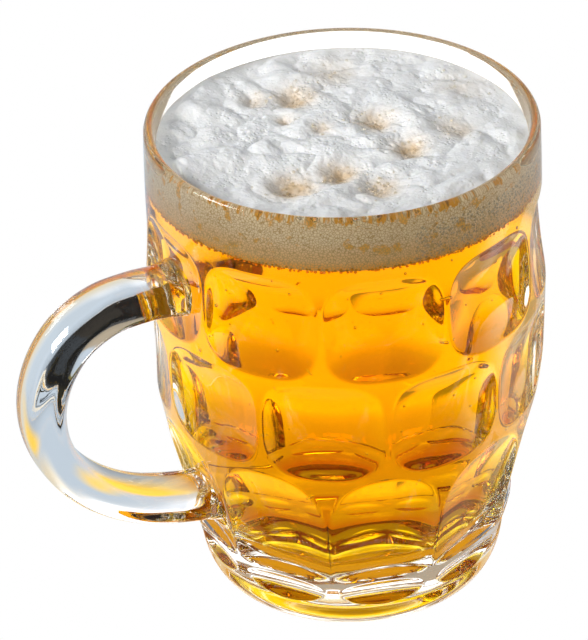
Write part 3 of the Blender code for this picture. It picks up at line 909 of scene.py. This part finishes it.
def make_lacing():
    """A closed film between an outer and an inner sheet, low at both ends."""
    turn = np.radians(np.linspace(*LACING_TURN, LACING_COLUMNS))
    wave = 0.35 * np.sin(turn * 23.0) + 0.25 * np.sin(turn * 61.0 + 1.0) + 0.2 * np.sin(turn * 97.0)
    ends = np.clip(np.minimum(turn - turn[0], turn[-1] - turn) / LACING_END, 0.0, 1.0)
    rings = []
    for reach, shares in ((LACING_OVERLAP, np.linspace(0.0, 1.0, LACING_LEVELS)),
                          (-LACING, np.linspace(0.0, 1.0, LACING_LEVELS)[::-1])):
        for share in shares:
            height = LACING_FOOT + share * (LACING_RISE + LACING_WAVE * wave) * ends * MM
            radius = inside_radius(height) + reach
            rings.append(np.stack([radius * np.cos(turn), radius * np.sin(turn), height], -1))
    faces = []
    for ring in range(len(rings)):
        here, there = ring * LACING_COLUMNS, (ring + 1) % len(rings) * LACING_COLUMNS
        faces += [(here + i, here + i + 1, there + i + 1, there + i) for i in range(LACING_COLUMNS - 1)]
    first = [ring * LACING_COLUMNS for ring in range(len(rings))]
    faces += [tuple(first), tuple(index + LACING_COLUMNS - 1 for index in reversed(first))]
    mesh = bpy.data.meshes.new("lacing")
    mesh.from_pydata(np.concatenate(rings).tolist(), [], faces)
    set_attribute(mesh, "against_glass", np.ones(len(mesh.vertices)))
    lacing = add_object("foam_lacing", mesh)
    lacing.data.materials.append(WHITE_FOAM)
    smooth_shading(lacing, 60.0)
    return lacing


lacing = make_lacing()
print("lacing", len(lacing.data.polygons), "faces")

# %% [markdown]
# Beads stick to the glass: amber ones along the line between beer and foam, clear ones in front of the
# foam at one side, and single bubbles in the beer. Small bubbles fill the foam's hollows as well. They
# could be placed by hand, but one rule makes them all. Points are spread over a surface, never closer
# than a set distance, and each gets a small sphere of a random size.

# %% Beads and bubbles
BEAD_ROUGHNESS = 0.04
BEAD_SUBDIVISIONS = 2
STRIP_COLUMNS = 80
STRIP_LEVELS = 10


def wall_strip(angles, heights, inset):
    """A strip of the inner wall as a grid, between two angles and two heights."""
    turn = np.radians(np.linspace(*angles, STRIP_COLUMNS))
    level = np.linspace(*heights, STRIP_LEVELS)
    radius = inside_radius(level) - inset
    points = [(r * math.cos(a), r * math.sin(a), z) for r, z in zip(radius, level) for a in turn]
    starts = [row * STRIP_COLUMNS + i for row in range(STRIP_LEVELS - 1) for i in range(STRIP_COLUMNS - 1)]
    faces = [(at, at + 1, at + STRIP_COLUMNS + 1, at + STRIP_COLUMNS) for at in starts]
    mesh = bpy.data.meshes.new("wall_strip")
    mesh.from_pydata(points, [], faces)
    return mesh


def bead_tree(name, material):
    """Spheres of random size on points spread over the faces that come in, or over their hollows."""
    sizes = {"Closest": 0.8 * MM, "Density": 1.0e6, "Smallest": 0.3 * MM, "Largest": 0.5 * MM, "Seed": 1}
    tree, geometry, size = new_tree(name, sizes)
    where = add_node(tree, "GeometryNodeInputNamedAttribute", {"Name": "hollow"}, data_type="FLOAT")
    share = add_node(tree, "GeometryNodeSwitch", {"Switch": where.outputs["Exists"], "False": 1.0,
                                                  "True": where.outputs["Attribute"]}, input_type="FLOAT")
    spread = add_node(tree, "GeometryNodeDistributePointsOnFaces",
                      {"Mesh": geometry, "Distance Min": size["Closest"], "Density Max": size["Density"],
                       "Density Factor": share.outputs["Output"], "Seed": size["Seed"]},
                      distribute_method="POISSON")
    ball = add_node(tree, "GeometryNodeMeshIcoSphere", {"Radius": 1.0, "Subdivisions": BEAD_SUBDIVISIONS})
    chance = add_node(tree, "FunctionNodeRandomValue", {2: size["Smallest"], 3: size["Largest"],
                                                        "Seed": size["Seed"]}, data_type="FLOAT")
    placed = add_node(tree, "GeometryNodeInstanceOnPoints",
                      {"Points": spread.outputs["Points"], "Instance": ball.outputs["Mesh"],
                       "Scale": chance.outputs[1]})
    finish_tree(tree, placed.outputs["Instances"], material)
    return tree


def make_beads(name, base, finish, colour, transmission, ior, values):
    """Beads called name, spread over the base mesh, with a material called finish."""
    material = clear_material(finish, colour, roughness=BEAD_ROUGHNESS, ior=ior, transmission=transmission)
    holder = add_object(name, base)
    holder.data = grown(holder, bead_tree(name, material), values)
    holder.data.shade_smooth()
    print(name, len(holder.data.polygons), "faces")
    return holder


line_beads = make_beads(
    "foam_line_beads", wall_strip((-180.0, 180.0), (114.5 * MM, 115.5 * MM), -0.1 * MM),
    "amber_beads", (0.86, 0.50, 0.10), transmission=0.85, ior=1.25, values={
        "Closest": 0.6 * MM, "Density": 4.0e6, "Smallest": 0.26 * MM, "Largest": 0.44 * MM, "Seed": 4})
silver_beads = make_beads(
    "silver_beads", wall_strip((-98.0, -22.0), (115.8 * MM, 124.5 * MM), -0.12 * MM),
    "silver_beads", (0.97, 0.96, 0.94), transmission=0.75, ior=1.30, values={
        "Closest": 0.62 * MM, "Density": 1.7e6, "Smallest": 0.2 * MM, "Largest": 0.42 * MM, "Seed": 7})
beer_bubbles = make_beads(
    "beer_bubbles", wall_strip((-180.0, 180.0), (45.0 * MM, 112.5 * MM), 0.6 * MM),
    "beer_bubbles", WHITE, transmission=1.0, ior=0.76, values={
        "Closest": 7.0 * MM, "Density": 4.0e4, "Smallest": 0.12 * MM, "Largest": 0.5 * MM, "Seed": 3})
film_bubbles = make_beads(
    "film_bubbles", foam.data.copy(),
    "bubble_film", (1.0, 0.98, 0.94), transmission=0.92, ior=1.07, values={
        "Closest": 0.6 * MM, "Density": 6.0e5, "Smallest": 0.12 * MM, "Largest": 0.45 * MM, "Seed": 11})

# %% [markdown]
# Glass has no look of its own: it shows the room. In the picture the floor and the surround are plain
# white, but the mug finds more in them. Behind it they are bright, and the beer glows with that. On the
# handle's side they are dim, which shows the round bar, and in front they are dark, which draws the brown
# and black lines. A picture of a real studio could light it too, but soft ramps are easier to steer.

# %% Helpers for the surround
DARK_SIDE = Vector((-0.48, -0.88, 0.0))
DIM_SIDE = Vector((-0.88, 0.48, 0.0))
BRIGHT = (1.8, 1.8, 1.8)
DIM = (0.60, 0.69, 0.78)
SHADE_WARM = (0.40, 0.33, 0.09)


def ramp_along(tree, way, direction, low_at, high_at):
    """A share that runs smoothly from 0 to 1 between two places along a direction."""
    along = add_node(tree, "ShaderNodeVectorMath", {0: way, 1: direction}, operation="DOT_PRODUCT")
    return between(tree, along.outputs["Value"], low_at, high_at)


def plain_for_camera(tree, lit):
    """The picture shows the surround as plain white; only the mug finds its gradient."""
    path = tree.nodes.new("ShaderNodeLightPath")
    return colour_mix(tree, path.outputs["Is Camera Ray"], lit, WHITE)


def when_bent(tree, mirrored, bent):
    """One colour for light that the glass mirrors, and another for light that the glass bends."""
    path = tree.nodes.new("ShaderNodeLightPath")
    return colour_mix(tree, path.outputs["Is Transmission Ray"], mirrored, bent)


# %% [markdown]
# The floor lies just under the foot. Round the mug its glow is dimmer and warm: a painted shadow of the mug
# with a painted caustic of the beer in it. Right under the foot it is amber, a painted caustic, as beer
# throws its colour down, and a painted golden caustic beside it shows in the handle's lower arm. Mirrored
# light finds the open floor dimmer than bent light does, or the sides of the beer would be veiled in white.

# %% Floor
FLOOR_DROP = 0.3 * MM
FLOOR_SIZE = 6.0
FLOOR_MIRRORED = (0.55, 0.55, 0.55)
# Painted shadow of the mug round its foot, warmed by a painted caustic of the beer
NEAR_SHADOW_AND_CAUSTIC = (0.90, 0.76, 0.50)
NEAR_SHADOW_REACH = (50.0 * MM, 140.0 * MM)
# Painted amber caustic on the floor under the foot, which the heel shows
AMBER_CAUSTIC = (0.75, 0.32, 0.01)
AMBER_CAUSTIC_REACH = (40.0 * MM, 52.0 * MM)
# Painted golden caustic of the mug on the floor, which the handle's lower arm shows
GOLD_CAUSTIC = (1.3, 0.85, 0.12)
GOLD_CAUSTIC_SPOT = (-54.0 * MM, 44.0 * MM, 0.0)
GOLD_CAUSTIC_REACH = (30.0 * MM, 12.0 * MM)
FLOOR_SHADE = (0.015, 0.015, 0.015)
WARM_SHADE_REACH = (170.0 * MM, 250.0 * MM)
DIM_FLOOR_REACH = (30.0 * MM, 70.0 * MM)
DARK_FLOOR_REACH = (-20.0 * MM, 60.0 * MM)


def floor_material():
    """A glowing floor whose colour depends on the distance from the mug and on the side."""
    material = new_material("pale_floor")
    tree = material.node_tree
    tree.nodes.remove(tree.nodes["Principled BSDF"])
    place = tree.nodes.new("ShaderNodeTexCoord").outputs["Object"]
    away = add_node(tree, "ShaderNodeVectorMath", {0: place}, operation="LENGTH").outputs["Value"]
    from_spot = add_node(tree, "ShaderNodeVectorMath", {0: place, 1: GOLD_CAUSTIC_SPOT}, operation="DISTANCE")
    open_floor = when_bent(tree, FLOOR_MIRRORED, BRIGHT)
    # Painted shadow and caustic round the mug
    around = colour_mix(tree, between(tree, away, *NEAR_SHADOW_REACH), NEAR_SHADOW_AND_CAUSTIC, open_floor)
    around = colour_mix(tree, ramp_along(tree, place, DIM_SIDE, *DIM_FLOOR_REACH), around, DIM)
    # Painted golden caustic
    around = colour_mix(tree, between(tree, from_spot.outputs["Value"], *GOLD_CAUSTIC_REACH), around, GOLD_CAUSTIC)
    far_shade = when_bent(tree, FLOOR_SHADE, SHADE_WARM)
    shade = colour_mix(tree, between(tree, away, *WARM_SHADE_REACH), FLOOR_SHADE, far_shade)
    shaded = colour_mix(tree, ramp_along(tree, place, DARK_SIDE, *DARK_FLOOR_REACH), around, shade)
    # Painted amber caustic under the foot
    edge = add_node(tree, "ShaderNodeMapRange",
                    {"Value": away, "From Min": AMBER_CAUSTIC_REACH[0], "From Max": AMBER_CAUSTIC_REACH[1]})
    lit = colour_mix(tree, edge.outputs["Result"], AMBER_CAUSTIC, shaded)
    glow = add_node(tree, "ShaderNodeEmission", {"Color": plain_for_camera(tree, lit)})
    tree.links.new(glow.outputs["Emission"], tree.nodes["Material Output"].inputs["Surface"])
    return material


def make_floor():
    half = FLOOR_SIZE / 2.0
    corners = [(-half, -half), (half, -half), (half, half), (-half, half)]
    mesh = bpy.data.meshes.new("floor")
    mesh.from_pydata([(x, y, -FLOOR_DROP) for x, y in corners], [], [(0, 1, 2, 3)])
    floor = add_object("floor", mesh)
    floor.data.materials.append(floor_material())
    print("floor", FLOOR_SIZE, "m wide")


make_floor()

# %% [markdown]
# The surround is the world's own colour. It is darker overhead, as in a room, and there and in front it
# is warmer for bent light, which gives the amber rim at the foot and the brown in the lowest panels.

# %% Surround
BRIGHT_MIRRORED = (0.75, 0.76, 0.77)
OVERHEAD = (0.20, 0.215, 0.235)
OVERHEAD_WARM = (0.50, 0.42, 0.31)
FRONT_SHADE = (0.04, 0.04, 0.04)
UP = Vector((0.0, 0.0, 1.0))
# Where each side begins and where it is full, as the share of a way that points there
DIM_SHARES = (0.2, 0.7)
OVERHEAD_SHARES = (0.45, 0.57)
FRONT_SHARES = (-0.1, 0.5)


def make_world():
    world = bpy.data.worlds.new("soft_studio")
    scene.world = world
    world.use_nodes = True
    tree = world.node_tree
    way = tree.nodes.new("ShaderNodeTexCoord").outputs["Generated"]
    bright = when_bent(tree, BRIGHT_MIRRORED, BRIGHT)
    around = colour_mix(tree, ramp_along(tree, way, DIM_SIDE, *DIM_SHARES), bright, DIM)
    above = when_bent(tree, OVERHEAD, OVERHEAD_WARM)
    around = colour_mix(tree, ramp_along(tree, way, UP, *OVERHEAD_SHARES), around, above)
    front = when_bent(tree, FRONT_SHADE, SHADE_WARM)
    lit = colour_mix(tree, ramp_along(tree, way, DARK_SIDE, *FRONT_SHARES), around, front)
    tree.links.new(plain_for_camera(tree, lit), tree.nodes["Background"].inputs["Color"])


make_world()
print("surround", scene.world.name)

# %% [markdown]
# Two soft boxes light the foam: a small one from the left, which draws its folds, and a wide one in
# front, which fills the shadows. A lamp seen in glass is a hard white square, so the left one isn't seen
# through the glass and the front one isn't mirrored in it. Glass in glass needs many bounces of light.

# %% Lights and light paths
def area_light(name, place, size, power, glossy=True, through_glass=True):
    """A soft box that faces the upper part of the mug."""
    light = bpy.data.lights.new(name, "AREA")
    light.shape = "RECTANGLE"
    light.size, light.size_y = size
    light.energy = power
    made = bpy.data.objects.new(name, light)
    scene.collection.objects.link(made)
    made.visible_glossy = glossy
    made.visible_transmission = through_glass
    made.location = Vector(place)
    made.rotation_euler = (LIT_PLACE - made.location).to_track_quat("-Z", "Y").to_euler()
    print(name, power, "W")


LIT_PLACE = Vector((0.0, 0.0, 0.12))
area_light("soft_box_left", (-0.62, 0.18, 0.52), (0.3, 0.3), 4.9, through_glass=False)
area_light("soft_box_front", (-0.36, -0.66, 0.34), (0.5, 0.3), 3.6, glossy=False)
scene.view_settings.view_transform = "Standard"
scene.cycles.max_bounces = 24
scene.cycles.transmission_bounces = 24
scene.cycles.glossy_bounces = 8
scene.cycles.caustics_refractive = True
scene.cycles.caustics_reflective = False

# %% [markdown]
# Every piece rides on the one body and takes the place of the solid that it covers: the beads, the
# bubbles in its hollows and the lacing belong to the foam, and the bubbles in the beer to the beer.

# %% Hand over
for piece, node in ((mug, "glass_mug"), (beer, "beer"), (foam, "foam_head"), (line_beads, "foam_head"),
                    (silver_beads, "foam_head"), (film_bubbles, "foam_head"), (lacing, "foam_head"),
                    (beer_bubbles, "beer")):
    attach(piece, "root")
    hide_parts(node)
